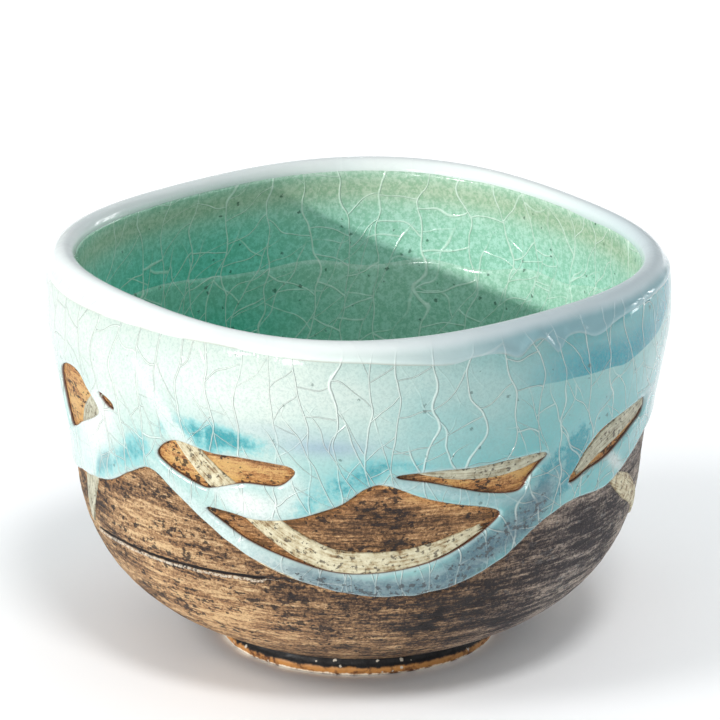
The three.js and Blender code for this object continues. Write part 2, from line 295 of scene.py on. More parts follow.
run_line = round_the_bowl([
    (-172, 36.5), (-160, 38.5), (-147, 41), (-140, 44.6), (-134, 47), (-127, 43), (-116, 35.6),
    (-105, 30.6), (-95, 27.6), (-84, 26.2), (-73, 27), (-61, 31.6), (-52, 37.2), (-45, 39.6),
    (-32, 39.8), (-24, 42.6), (-14, 46), (0, 46.6), (14, 41.6), (28, 35), (42, 30.2), (56, 28.2),
    (70, 31), (82, 37), (94, 42.6), (106, 43), (118, 39), (132, 34.4), (148, 32.6), (162, 34),
])
lip_line = round_the_bowl([
    (-165, 72.6), (-135, 73.6), (-114, 74.6), (-96, 74), (-89, 73.8), (-80, 73), (-73, 72.4), (-68, 73),
    (-63, 72.8), (-58.5, 71.6), (-56, 73), (-52.5, 73.2), (-50, 70.6), (-47.4, 72.6), (-44, 72.8),
    (-40, 71.4), (-34, 72.6), (-20, 73.6), (10, 73), (40, 74.2), (58, 72.4), (66, 73.6), (75, 73),
    (110, 73.8), (124, 72.2), (130, 73.4), (140, 72.6), (165, 73.4),
])
well_line = round_the_bowl([
    (-170, 57.6), (-130, 58.8), (-90, 57.2), (-50, 58.4), (-10, 59.8), (14, 60.4), (27, 61.2),
    (38, 59.2), (50, 59.6), (62, 57.4), (76, 58), (88, 56.2), (100, 57.6), (112, 56.6), (140, 58.2),
])

# Windows that the glaze leaves open, where the clay and the strokes show
window_corners = {
    "left": [
        (-168, 51), (-167.4, 57), (-163, 59.6), (-158, 60.5), (-155, 60), (-152.6, 58), (-149, 55.8),
        (-148.4, 54.9), (-150, 53.4), (-158, 49.6), (-162, 47.6), (-166, 46.6),
    ],
    "left_drop": [(-148, 58.6), (-146.4, 58.5), (-143.2, 57.4), (-143, 56.6), (-145.4, 56.8)],
    "front_left": [
        (-131.2, 50.8), (-130, 52.6), (-127.4, 54.2), (-125, 54.6), (-118, 53.6), (-113, 53.7),
        (-106, 53.3), (-102.6, 52.8), (-101.8, 52), (-104, 49.4), (-105.6, 48.8), (-112, 48.6),
        (-118, 46.8), (-120, 46.3), (-121.4, 46.5), (-125, 47.6), (-129, 49.2),
    ],
    "front_middle": [
        (-120.4, 42), (-116, 41.9), (-110, 41.1), (-102.5, 42), (-97, 43.9), (-93, 45.6), (-89, 48.6),
        (-86.4, 49.6), (-84.6, 49.4), (-78, 46.5), (-72, 44.6), (-65, 42.9), (-62.4, 41.9), (-61.8, 41.2),
        (-64.4, 38.8), (-69, 36), (-76, 33.2), (-86, 31.6), (-94, 31.6), (-103, 33.8), (-112, 37),
        (-116.5, 39.5),
    ],
    "front_right": [
        (-83, 51.2), (-75, 51.8), (-68, 51.6), (-60, 51.9), (-53, 51.9), (-52, 51.5), (-54, 49.7),
        (-56, 47.6), (-57.2, 45.7), (-58.6, 45.2), (-65, 46.1), (-70, 47.6), (-76, 49.5),
    ],
    "right": [
        (-45.4, 44.2), (-43.4, 47.2), (-41, 50.1), (-37, 52.6), (-30, 53.9), (-22, 54.3), (-20.6, 53.8),
        (-20.2, 51.4), (-25, 49.6), (-29, 48.1), (-32, 46.9), (-36, 45.8), (-40, 45.2), (-44, 43.9),
    ],
    "back_right": [
        (12, 48.6), (14, 50), (20, 50.2), (30, 45), (42, 40.6), (56, 38.8), (65, 40), (66.6, 39.4),
        (60, 34.8), (46, 34.2), (30, 39.6), (18, 45.4),
    ],
    "back_high": [(45, 49.6), (47, 51), (56, 53.4), (70, 53.2), (80, 52), (81, 51.2), (74, 47.4), (60, 46.2)],
    "back_left": [
        (105, 48.6), (107, 50.4), (116, 54.6), (126, 58.2), (130.6, 56), (131, 54.6), (124, 50), (114, 46.6),
    ],
}
EDGE_SPACING = 0.55
STROKE_SPACING = 0.8
windows = [smooth_line(corners, EDGE_SPACING, closed=True) for corners in window_corners.values()]


class Stroke:
    """A brush stroke along a line of (angle, height) corners. Khaki is how much iron its slip holds, and a
    stroke that runs dry narrows towards its end."""

    def __init__(self, width, khaki, corners, runs_dry=False):
        self.khaki = khaki
        self.line = smooth_line(corners, STROKE_SPACING)
        self.share = np.linspace(0, 1, len(self.line))
        self.half = width / 2 * np.maximum(np.sin(np.pi * self.share), 0.04) ** 0.35
        if runs_dry:
            self.half *= 1.15 - 0.9 * np.abs(self.share - 0.35)


strokes = {
    "slip_stroke_sweep": Stroke(4.8, 0.25, [
        (-136, 68), (-129, 60.5), (-121, 51), (-112, 44), (-104, 38), (-96, 34.2), (-87, 33.4), (-76, 35),
        (-66, 38.8),
    ]),
    "slip_stroke_loop": Stroke(3.6, 0.1, [
        (-133, 49.5), (-124, 42.8), (-112, 35), (-98, 30), (-84, 28.6), (-72, 30.4), (-62, 35.4),
        (-52, 43.6), (-44, 53), (-36, 60),
    ]),
    "slip_stroke_front_low": Stroke(2.6, 0.2, [
        (-86, 50), (-80, 49.2), (-74, 47.6), (-67, 45.1), (-61, 43.9), (-56, 44.6), (-54, 46.6),
    ]),
    "slip_stroke_front_high": Stroke(3, 0.7, [(-79, 52.2), (-71, 50.9), (-62, 50.4), (-51, 51.8)]),
    "slip_stroke_right": Stroke(4.8, 0.8, [(-43, 45.5), (-37, 49.2), (-28, 52), (-14, 55.6)]),
    "slip_stroke_right_tail": Stroke(4.4, 0.1, [
        (-31, 41), (-22, 36.4), (-14, 31.6), (-7, 26),
    ], runs_dry=True),
    "slip_stroke_left": Stroke(7.5, 0.9, [
        (-148, 58), (-153, 51), (-156, 43), (-159, 35), (-161, 29),
    ], runs_dry=True),
    "slip_stroke_back_sweep": Stroke(4.2, 0.3, [(6, 61), (16, 51), (28, 42), (42, 35.8), (58, 34), (74, 38)]),
    "slip_stroke_back_high": Stroke(3.4, 0.7, [(44, 52.4), (56, 50.2), (68, 50.2), (80, 52.6)]),
    "slip_stroke_back_left": Stroke(4.6, 0.5, [(104, 44), (116, 49.4), (128, 56), (140, 64)]),
    "slip_stroke_back_tail": Stroke(4.2, 0.4, [
        (118, 39), (129, 34.2), (140, 29.4), (149, 24.5),
    ], runs_dry=True),
}


def run_edge(angle):
    """The run line with the small wobble of glaze that stopped as it cooled."""
    return run_line(angle) + 0.25 * noise_at(rows_of(angle, 0), 3.2)


def depth_in_outline(points, outline, far=8.0):
    """How far inside a closed outline each point lies. Outside it is negative, and never below -far."""
    depth = np.full(len(points), -far)
    low, high = outline.min(axis=0) - far, outline.max(axis=0) + far
    near = np.flatnonzero(((points > low) & (points < high)).all(axis=1))
    start = outline[None]
    side = np.roll(outline, -1, axis=0)[None] - start
    reach = points[near, None] - start
    share = np.clip((reach * side).sum(-1) / (side**2).sum(-1), 0, 1)
    gap = np.sqrt(((reach - share[..., None] * side) ** 2).sum(-1)).min(axis=1)
    above_start = reach[..., 1] >= 0
    above_end = reach[..., 1] - side[..., 1] >= 0
    left = reach[..., 0] * side[..., 1] < reach[..., 1] * side[..., 0]
    crosses = (above_start != above_end) & (left == (side[..., 1] > 0))
    is_inside = crosses.sum(axis=1) % 2 == 1
    depth[near] = np.maximum(np.where(is_inside, gap, -gap), -far)
    return depth


def depth_in_windows(points):
    return np.max([depth_in_outline(points, outline) for outline in windows], axis=0)


def depth_in_glaze(points):
    """How far each point lies inside the outer glaze's lower edge and windows. Bare clay is negative."""
    step = 0.5
    slope = (run_line(points[:, 0] + step) - run_line(points[:, 0] - step)) / (2 * step)
    above_run = (points[:, 1] - run_edge(points[:, 0])) / np.hypot(1, slope)
    return np.minimum(above_run, -depth_in_windows(points))


def depth_in_strokes(points, far=5.0):
    """How far inside a brushed stroke each point lies. Outside it is negative, and never below -far."""
    depth = np.full(len(points), -far)
    for stroke in strokes.values():
        low, high = stroke.line.min(axis=0) - far - 1, stroke.line.max(axis=0) + far + 1
        near = np.flatnonzero(((points > low) & (points < high)).all(axis=1))
        gap = np.hypot(*(points[near, None] - stroke.line[None]).transpose(2, 0, 1))
        here = (stroke.half - gap).max(axis=1)
        depth[near] = np.maximum(depth[near], here)
    return depth


# ---- Making pieces ----


FINE = "_fine"  # ends the name of every piece that stands for a CAD node


def add_piece(node, material, vertices, faces, fields):
    """A smooth mesh that stands for a CAD node. Fields are values by vertex that its material reads."""
    mesh = bpy.data.meshes.new(node + FINE)
    mesh.from_pydata(vertices.tolist(), [], faces)
    mesh.shade_smooth()
    for name, values in fields.items():
        attribute = mesh.attributes.new(name, "FLOAT", "POINT")
        attribute.data.foreach_set("value", np.asarray(values, np.float32))
    mesh.materials.append(material)
    piece = add_object(node + FINE, mesh)
    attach(piece, "root")
    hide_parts(node)


def lathe_faces(rows, columns):
    """Quads between rows of points that run round the bowl, row after row."""
    row, column = np.meshgrid(np.arange(rows - 1), np.arange(columns), indexing="ij")
    beside = (column + 1) % columns
    quads = [row * columns + column, row * columns + beside]
    quads += [(row + 1) * columns + beside, (row + 1) * columns + column]
    return rows_of(*quads).reshape(-1, 4).tolist()


def ring_faces(rows, columns):
    """The quads of a closed ring: the last row meets the first."""
    faces = lathe_faces(rows + 1, columns)
    return [[corner % (rows * columns) for corner in face] for face in faces]


def pole_faces(rows, columns):
    """Triangles that close the first and last row on two more points, added after the others."""
    first, last = rows * columns, rows * columns + 1
    end = (rows - 1) * columns
    faces = []
    for column in range(columns):
        beside = (column + 1) % columns
        faces.append([first, beside, column])
        faces.append([last, end + column, end + beside])
    return faces


def triangulate(points, loops, keep):
    """Triangles over (angle, height) points that meet again after 360 degrees. Loops are rows of point
    numbers that stay edges, and keep tells from its middle whether a triangle stays."""
    margin = 10
    copies = [
        (np.arange(len(points)), 0),
        (np.flatnonzero(points[:, 0] < margin - 180), 360),
        (np.flatnonzero(points[:, 0] > 180 - margin), -360),
    ]
    source = np.concatenate([numbers for numbers, _ in copies])
    spread = np.concatenate([points[numbers] + (shift, 0) for numbers, shift in copies])
    edges = []
    start = 0
    for numbers, _ in copies:
        moved = np.full(len(points), -1)
        moved[numbers] = start + np.arange(len(numbers))
        start += len(numbers)
        for loop in loops:
            pairs = rows_of(moved[loop], moved[np.roll(loop, -1)])
            pairs = pairs[(pairs >= 0).all(axis=1)]
            short = length_of(spread[pairs[:, 0]] - spread[pairs[:, 1]]) < margin
            edges += pairs[short].tolist()
    found = delaunay_2d_cdt([Vector(row) for row in spread], edges, [], 0, 1e-6, True)
    places, faces, origins = found[0], found[2], found[3]
    corner = np.array([list(place) for place in places])
    origin = np.array([source[origin[0]] for origin in origins])
    faces = np.array(faces)
    middle = corner[faces].mean(axis=1)
    once = (middle[:, 0] >= -180) & (middle[:, 0] < 180)
    faces, middle = faces[once], middle[once]
    return origin[faces[keep(middle)]]


def thick_sheet(triangles, count):
    """The faces of a solid from a sheet of triangles: the top, the under face, which uses the same points
    again after the first count, and a wall round every edge."""
    forward = np.concatenate([triangles[:, [0, 1]], triangles[:, [1, 2]], triangles[:, [2, 0]]])
    known = set(map(tuple, forward.tolist()))
    walls = [[b, a, a + count, b + count] for a, b in known if (b, a) not in known]
    return triangles.tolist() + (triangles[:, ::-1] + count).tolist() + sorted(walls)


def rounded(distance, width):
    """The share of full height at a distance from an edge that rises as a quarter circle."""
    t = np.clip(distance / width, 0, 1)
    return np.sqrt(1 - (1 - t) ** 2)


# ---- Materials ----


def colour(red, green, blue):
    """A screen colour from 0 to 255, made linear."""
    shares = (np.array([red, green, blue]) / 255) ** 2.2
    return (*shares.tolist(), 1)


class Value:
    """An output of one of a material's nodes. A sum, difference or product of values is a node too."""

    def __init__(self, paint, socket):
        self.paint = paint
        self.socket = socket

    def also(self, output):
        """Another output of the same node."""
        return Value(self.paint, self.socket.node.outputs[output])

    def __add__(self, other):
        return self.paint.maths("ADD", self, other)

    def __sub__(self, other):
        return self.paint.maths("SUBTRACT", self, other)

    def __rsub__(self, other):
        return self.paint.maths("SUBTRACT", other, self)

    def __mul__(self, other):
        return self.paint.maths("MULTIPLY", self, other)


class Paint:
    """One material's nodes. Each method adds a node and gives its value."""

    def __init__(self, name):
        self.material = bpy.data.materials.new(name)
        self.material.use_nodes = True
        self.tree = self.material.node_tree
        self.surface = self.tree.nodes["Principled BSDF"]
        self.place = self.add("ShaderNodeTexCoord", {}, "Object")

    def add(self, kind, inputs, output=0, **settings):
        node = self.tree.nodes.new(kind)
        for name, value in settings.items():
            setattr(node, name, value)
        for socket, value in inputs.items():
            self.plug(value, node.inputs[socket])
        return Value(self, node.outputs[output])

    def plug(self, value, socket):
        if isinstance(value, Value):
            self.tree.links.new(value.socket, socket)
        else:
            socket.default_value = value

    def field(self, name):
        return self.add("ShaderNodeAttribute", {}, "Fac", attribute_name=name)

    def stretched(self, x, y, z):
        return self.add("ShaderNodeMapping", {"Vector": self.place, "Scale": (x, y, z)})

    def noise(self, scale, place=None, detail=3.0, roughness=0.55, output="Fac"):
        inputs = {"Vector": place or self.place, "Scale": scale, "Detail": detail, "Roughness": roughness}
        return self.add("ShaderNodeTexNoise", inputs, output)

    def cells(self, scale, place=None, feature="F1", output="Distance"):
        inputs = {"Vector": place or self.place, "Scale": scale}
        return self.add("ShaderNodeTexVoronoi", inputs, output, feature=feature)

    def band(self, value, low, high, to_low=0.0, to_high=1.0):
        inputs = {0: value, 1: low, 2: high, 3: to_low, 4: to_high}
        return self.add("ShaderNodeMapRange", inputs, interpolation_type="SMOOTHSTEP")

    def maths(self, operation, first, second=0.0, clamp=False):
        return self.add("ShaderNodeMath", {0: first, 1: second}, operation=operation, use_clamp=clamp)

    def vector(self, operation, first, second):
        return self.add("ShaderNodeVectorMath", {0: first, 1: second}, operation=operation)

    def mix(self, amount, first, second, blend="MIX"):
        inputs = {0: amount, 6: first, 7: second}
        return self.add("ShaderNodeMix", inputs, 2, data_type="RGBA", blend_type=blend)

    def bump(self, height, depth, strength=1.0, normal=None):
        inputs = {"Height": height, "Distance": depth * MM, "Strength": strength}
        if normal:
            inputs["Normal"] = normal
        return self.add("ShaderNodeBump", inputs)

    def finish(self, base, roughness, normal, **constants):
        self.plug(base, self.surface.inputs["Base Color"])
        self.plug(roughness, self.surface.inputs["Roughness"])
        self.plug(normal, self.surface.inputs["Normal"])
        for name, value in constants.items():
            self.surface.inputs[name.replace("_", " ")].default_value = value
        return self.material


def craze(paint, columns, row, lean=0.0, line=0.24, kept=0.8):
    """Craze lines, 0 to 1. The long ones run up the wall, leaning by this share of their height, and the
    short ones cross from each to the next. Columns go once round, and row is the height between rows."""
    x = paint.add("ShaderNodeSeparateXYZ", {0: paint.place})
    turn = paint.maths("ARCTAN2", x.also(1), x)
    column = 2 * math.pi * BELLY_RADIUS / columns
    across = turn * (columns / (2 * math.pi))
    up = x.also(2) * (1 / (row * MM))
    across = across + up * (lean * row / column)
    for scale, strength in ((26, 2.4), (80, 1.2), (240, 0.08)):
        drift = paint.noise(scale, detail=1, output="Color")
        parts = paint.add("ShaderNodeSeparateColor", {0: drift})
        across = across + (parts - 0.5) * strength
        up = up + (parts.also(1) - 0.5) * strength
    strip = paint.maths("FLOORED_MODULO", paint.maths("FLOOR", across), columns)
    shift = paint.add("ShaderNodeTexWhiteNoise", {"W": strip}, noise_dimensions="1D")
    slant = paint.add("ShaderNodeSeparateColor", {0: shift.also("Color")}) - 0.5
    part_way = paint.maths("FRACT", across) - 0.5
    up = up + slant * part_way * 2.4 + shift
    place = paint.add("ShaderNodeCombineXYZ", {0: strip, 1: paint.maths("FLOOR", up + 0.5)})
    chance = paint.add("ShaderNodeTexWhiteNoise", {"Vector": place}, noise_dimensions="2D")
    lines = []
    for run, size in ((across, column), (up, row)):
        gap = paint.maths("PINGPONG", run, 0.5) * size
        lines.append(paint.band(gap, line * 0.2, line, 1, 0))
    crossing = lines[1] * paint.maths("LESS_THAN", chance, kept)
    return paint.maths("MAXIMUM", lines[0], crossing * 0.85)


def crackle(paint, columns, row):
    """The whole crackle: wide cells, and finer leaning ones that show in places and fade near the lip."""
    wide = craze(paint, columns, row)
    shown = paint.band(paint.noise(42), 0.34, 0.48, 0.35, 1)
    close = craze(paint, round(columns * 1.1), row * 0.8, 0.45, 0.22, 0.75)
    patches = paint.band(paint.noise(65), 0.36, 0.5, 0, 0.8)
    height = paint.add("ShaderNodeSeparateXYZ", {0: paint.place}, 2)
    patches = patches * paint.band(height, 67 * MM, 61 * MM, 0.12, 1)
    return paint.maths("MAXIMUM", wide * shown, close * patches)


def specks(paint, spacing, size, amount, flatten=1.0):
    """Small ragged dots. Amount, 0 to 1, is the share of places that hold one, and flatten draws them out
    round the bowl."""
    scale = 1000 / spacing
    ragged = paint.noise(2600 / spacing, detail=2, output="Color")
    reach = 0.55 * spacing * MM
    place = paint.vector("MULTIPLY", paint.vector("SUBTRACT", ragged, (0.5,) * 3), (reach,) * 3)
    place = paint.vector("ADD", place, paint.stretched(1, 1, flatten))
    chance = paint.add("ShaderNodeSeparateColor", {0: paint.cells(scale, place, output="Color")})
    gap = paint.cells(scale, place) - chance.also(1) * (size / spacing)
    dot = paint.band(gap, -0.08, 0.04, 1, 0)
    return dot * paint.maths("LESS_THAN", chance, amount)


def blots(paint, size, amount, flatten=1.0):
    """Ragged blots of about this size. More amount, 0 to 1, makes more of them."""
    lumps = paint.noise(400 / size, paint.stretched(1, 1, flatten), 3, 0.6)
    low = 0.78 - amount * 0.3
    return paint.band(lumps - low, 0, 0.04)


def clay_material():
    paint = Paint("clay")
    warm, dark, tan = paint.field("warm"), paint.field("dark"), paint.field("tan")
    streaks = paint.noise(1, paint.stretched(64, 64, 620), 6, 0.72)
    threads = paint.noise(1, paint.stretched(190, 190, 1700), 5, 0.85)
    grain = paint.noise(1700, detail=4, roughness=0.8)
    blotches = paint.noise(1, paint.stretched(110, 110, 240), 5, 0.65)
    tone = streaks * 0.85 + threads * 1.15 + blotches * 0.45 + grain * 0.8 - 1.1
    # The dark field, which holds painted shade as well as gouges and clouds, lowers the tone.
    tone = tone + tan * 0.1 - dark * 0.2
    base = paint.mix(paint.band(tone, 0.32, 0.46), colour(30, 22, 22), colour(96, 72, 54))
    base = paint.mix(paint.band(tone, 0.44, 0.62), base, colour(172, 134, 94))
    base = paint.mix(paint.band(tone, 0.58, 0.8), base, colour(236, 204, 160))
    glow = paint.maths("ADD", warm * 0.45, tan * 0.14, clamp=True)
    base = paint.mix(glow, base, colour(210, 158, 98), "OVERLAY")
    base = paint.mix(warm * 0.26, base, colour(208, 146, 76))
    pits = blots(paint, 0.6, paint.band(blotches, 0.65, 0.4, 0.35, 0.85), 1.6)
    base = paint.mix(pits * 0.85, base, colour(34, 26, 28))
    # The right side's clay is greyed; the light end of its grey stands partly for pale specks and partly for
    # painted sheen, grey highlights along the right edge.
    grey = paint.mix(paint.band(tone, 0.34, 0.74), colour(66, 60, 64), colour(214, 210, 206))
    base = paint.mix(paint.field("cool") * 0.62, base, grey)
    away = paint.field("scratch") + (threads - 0.5) * 0.5
    lip = paint.band(paint.maths("ABSOLUTE", away + 0.62), 0.16, 0.34, 1, 0)
    base = paint.mix(lip * paint.band(grain, 0.42, 0.52), base, colour(236, 222, 200))
    base = paint.mix(paint.band(paint.maths("ABSOLUTE", away), 0.22, 0.42, 1, 0), base, colour(28, 20, 20))
    height = streaks * 0.4 + (threads * 0.8 + grain * 0.7) - pits * 0.5
    return paint.finish(base, paint.band(threads, 0.3, 0.7, 0.62, 0.9), paint.bump(height, 1))


def foot_material():
    paint = Paint("foot_clay")
    rough = paint.noise(420, detail=4, roughness=0.7)
    level = paint.field("rise") + (rough - 0.5) * 1.1
    base = paint.mix(paint.band(level, 0.35, 0.6), colour(238, 226, 206), colour(182, 126, 68))
    base = paint.mix(paint.band(rough, 0.46, 0.64), base, colour(96, 60, 36))
    # Near black towards the top of the foot, in the groove under the body: partly iron wash, partly painted
    # shadow under the overhang.
    base = paint.mix(paint.band(level, 1.4, 1.9), base, colour(20, 17, 18))
    base = paint.mix(specks(paint, 0.9, 0.5, 0.12), base, colour(190, 180, 164))
    return paint.finish(base, paint.band(rough, 0.3, 0.7, 0.5, 0.85), paint.bump(rough, 0.3))


def slip_material():
    paint = Paint("slip")
    khaki, along, across = paint.field("khaki"), paint.field("along"), paint.field("across")
    brush = paint.add("ShaderNodeCombineXYZ", {0: along * 0.16, 1: across * 2.6})
    hairs = paint.noise(1, brush, 5, 0.65)
    mottle = paint.noise(620, detail=5, roughness=0.7)
    tone = hairs * paint.band(khaki, 0, 1, 0.4, 0.75) + mottle * 0.6
    cream = paint.mix(paint.band(tone, 0.38, 0.62), colour(158, 134, 88), colour(224, 216, 184))
    iron = paint.mix(paint.band(tone, 0.5, 0.8), colour(112, 104, 82), colour(194, 194, 174))
    base = paint.mix(khaki, cream, iron)
    worn = paint.band(tone, 0.4, 0.5, 1, 0)
    base = paint.mix(worn * 0.7, base, colour(104, 72, 44))
    pits = blots(paint, 0.42, 0.62, 1.2)
    base = paint.mix(pits * 0.75, base, colour(58, 46, 34))
    return paint.finish(base, 0.5, paint.bump(tone - pits * 0.4, 0.45))


def pooled_aqua(paint, aqua, cloud, grain):
    """The outer glaze by itself: from whitish to blue, with the painted reflection across the shoulder, the
    haze and the teal pools.
    """
    shift = paint.band(aqua + cloud * 0.5, 0.1, 1.3)
    base = paint.mix(shift, colour(204, 211, 200), colour(92, 168, 170))
    # The dark teal band across the right shoulder is a painted reflection of the surroundings.
    deep = paint.field("deep") + (cloud - 0.5) * 1.2
    band = paint.band(deep, -0.12, 0.12) * paint.band(deep, 2, 7, 1, 0.45)
    reflection_tone = paint.mix(paint.band(grain, 0.35, 0.65), colour(0, 126, 142), colour(0, 142, 156))
    base = paint.mix(band * paint.field("reach"), base, reflection_tone)
    grey = paint.mix(cloud, colour(152, 172, 182), colour(130, 156, 172))
    base = paint.mix(paint.field("haze") * 0.95, base, grey)
    pool = paint.field("pool")
    flow = paint.noise(1, paint.stretched(170, 170, 60), 4, 0.6)
    stirred = pool + (flow - 0.5) * (pool * 3.2) + (grain - 0.5) * (pool * 2.2)
    base = paint.mix(paint.band(stirred, 0.1, 0.9), base, colour(116, 178, 180))
    teal = paint.mix(aqua, colour(30, 134, 140), colour(0, 136, 148))
    return paint.mix(paint.band(stirred, 0.65, 1.5), base, teal)


def glaze_over_slip(paint, base, aqua, grain):
    """What lies under the glaze shows: it is paler over a stroke, stained by iron, and milky in places."""
    bluer = aqua + (grain - 0.5) * 1.2
    over_slip = paint.mix(bluer, colour(226, 230, 224), colour(136, 164, 170))
    base = paint.mix(paint.field("slip") * 0.6, base, over_slip)
    freckle = paint.field("freckle")
    base = paint.mix(freckle * 0.85, base, colour(84, 104, 114))
    mottle = paint.noise(1, paint.stretched(420, 420, 640), 5, 0.75)
    stained = freckle * paint.band(mottle, 0.4, 0.58)
    stain = paint.mix(aqua, colour(92, 104, 110), colour(44, 90, 106))
    base = paint.mix(stained * 0.85, base, stain)
    return paint.mix(paint.field("milk"), base, colour(212, 216, 211))


def outer_glaze_material():
    paint = Paint("aqua_glaze")
    aqua, edge, freckle = map(paint.field, ("aqua", "edge", "freckle"))
    cloud = paint.noise(70, detail=5, roughness=0.6)
    grain = paint.noise(900, detail=4, roughness=0.75)
    base = pooled_aqua(paint, aqua, cloud, grain)
    base = glaze_over_slip(paint, base, aqua, grain)
    lines = crackle(paint, 58, 8.5) * paint.band(paint.field("slip"), 0.2, 0.9, 1, 0.35)
    fine = paint.noise(1900, detail=3, roughness=0.8)
    base = paint.mix(paint.band(fine, 0.56, 0.38, 0, 0.3), base, colour(120, 150, 148))
    base = paint.mix(lines * 0.42, base, colour(236, 244, 236))
    dots = specks(paint, 1.7, 0.5, paint.band(aqua, 0.3, 0.8, 0.06, 0.24))
    base = paint.mix(dots * 0.6, base, colour(60, 84, 80))
    thick = blots(paint, 0.5, freckle * 0.85 - 0.1, 1.3)
    base = paint.mix(thick * 0.8, base, colour(56, 62, 66))
    # Paler just inside each edge: a painted highlight on the glaze's rounded edge.
    base = paint.mix(paint.band(edge, 0.25, 0.9, 0.25, 0), base, colour(212, 222, 222))
    rim = paint.mix(cloud, colour(120, 62, 26), colour(44, 30, 26))
    base = paint.mix(paint.band(edge, 0.03, 0.2, 0.95, 0), base, rim)
    normal = paint.bump(cloud, 0.9, 0.5)
    normal = paint.bump(lines - thick * 0.8, 0.26, 1, normal)
    roughness = paint.band(grain, 0.3, 0.8, 0.1, 0.2)
    return paint.finish(base, roughness, normal, Coat_Weight=0.5, Coat_Roughness=0.03)


def lip_glaze_material():
    paint = Paint("white_glaze")
    below = paint.field("below")
    cloud = paint.noise(90, detail=4)
    grain = paint.noise(900, detail=3, roughness=0.7)
    base = paint.mix(cloud, colour(222, 232, 232), colour(234, 238, 235))
    # Towards the right the lip glaze, and its lower part more so, is painted greyer and bluer: painted shade
    # and reflection where the key light misses.
    base = paint.mix(paint.field("side") * 0.6, base, colour(172, 192, 200))
    lower = paint.mix(cloud, colour(224, 231, 225), colour(208, 222, 217))
    lower = paint.mix(paint.field("side") * 0.85, lower, colour(104, 154, 164))
    base = paint.mix(paint.band(below + cloud * 1.2, 1.6, 3.6), base, lower)
    seam = paint.field("seam") * paint.band(cloud, 0.4, 0.6, 0.1, 0.65)
    base = paint.mix(seam, base, colour(134, 132, 112))
    lines = crackle(paint, 58, 8.5) * paint.band(below, 1.5, 4, 0.15, 0.8)
    base = paint.mix(lines * 0.25, base, colour(228, 230, 226))
    normal = paint.bump(lines, 0.12, 0.7, paint.bump(cloud, 0.7, 0.5))
    roughness = paint.band(grain, 0.3, 0.8, 0.08, 0.16)
    return paint.finish(base, roughness, normal, Coat_Weight=0.5, Coat_Roughness=0.03)


def inner_glaze_material(name, upper, lower, spotted):
    """The lining and the well share a recipe, which goes from the upper to the lower colour with depth."""
    paint = Paint(name)
    cloud = paint.noise(60, detail=5, roughness=0.6)
    grain = paint.noise(1000, detail=4, roughness=0.8)
    shift = paint.field("depth") + (cloud - 0.5) * 0.5
    base = paint.mix(paint.band(shift, 0, 1), upper, lower)
    # Painted light: the glaze turns paler and greyer where the key light falls, at the right and the back.
    pale = paint.field("pale") + cloud * 0.3
    base = paint.mix(paint.band(pale, 0.2, 1.1, 0, 0.6), base, colour(204, 226, 210))
    base = paint.mix(paint.field("ring") * 0.75, base, colour(184, 196, 168))
    darker = paint.mix(1, base, colour(206, 226, 214), "MULTIPLY")
    base = paint.mix(paint.band(grain, 0.4, 0.62), darker, base)
    wall_lines = crackle(paint, 42, 6.5)
    floor_lines = paint.band(paint.cells(120, feature="DISTANCE_TO_EDGE"), 0.008, 0.03, 1, 0)
    flat_place = {0: paint.stretched(1, 1, 0)}
    from_middle = paint.add("ShaderNodeVectorMath", flat_place, "Value", operation="LENGTH")
    near_middle = paint.band(from_middle, 22 * MM, 30 * MM, 1, 0)
    lines = floor_lines * near_middle + wall_lines * (1 - near_middle)
    base = paint.mix(lines * 0.6, base, colour(232, 248, 236))
    dots = specks(paint, 1.7, 0.5, spotted)
    base = paint.mix(dots * 0.65, base, colour(30, 66, 52))
    normal = paint.bump(lines, 0.14, 0.8, paint.bump(cloud, 0.8, 0.5))
    roughness = paint.band(grain, 0.3, 0.8, 0.12, 0.24)
    return paint.finish(base, roughness, normal, Coat_Weight=0.6, Coat_Roughness=0.04)


# ---- Clay body ----

COLUMNS = 384
FINE_TOP = 50  # the clay shows up to this height
FINE_ROW = 0.335  # how far apart its rows lie there

# Patches of the clay, each (angle, height, half width, half height, tilt, strength)
GOUGED = [(-73, 19.5, 8, 5.5, 12, 1), (-30, 27, 12, 7, 0, 0.4), (60, 18, 14, 6, 10, 0.6)]
# Painted shade: darker clay low on the front and at the right, where little light falls.
PAINTED_SHADE = [
    (-36, 33, 16, 10, 0, 0.5), (-66, 20, 26, 10, 0, 0.7), (-96, 24, 16, 6, 0, 0.1), (-88, 40, 18, 6, 8, 0.3),
]
TOASTED = [
    (-135, 34, 22, 9, -8, 1), (-125, 17, 28, 10, 0, 1.5), (-70, 10, 30, 5, 0, 0.4), (70, 22, 40, 12, 0, 0.5),
    (150, 20, 30, 12, 0, 0.5),
]
TOASTED_IN_WINDOWS = [
    (-118, 51, 22, 7, 0, 2.6), (-160, 54, 14, 9, 0, 2.4), (-62, 49, 18, 5, 0, 2.8), (-32, 50, 14, 8, 0, 2),
    (70, 48, 40, 12, 0, 1),
]


def tooling_groove(angle):
    """The height of the scratch that the turning tool left at the left."""
    return np.interp(angle, [-166, -149, -128, -106], [26.6, 28, 28.4, 28.9])


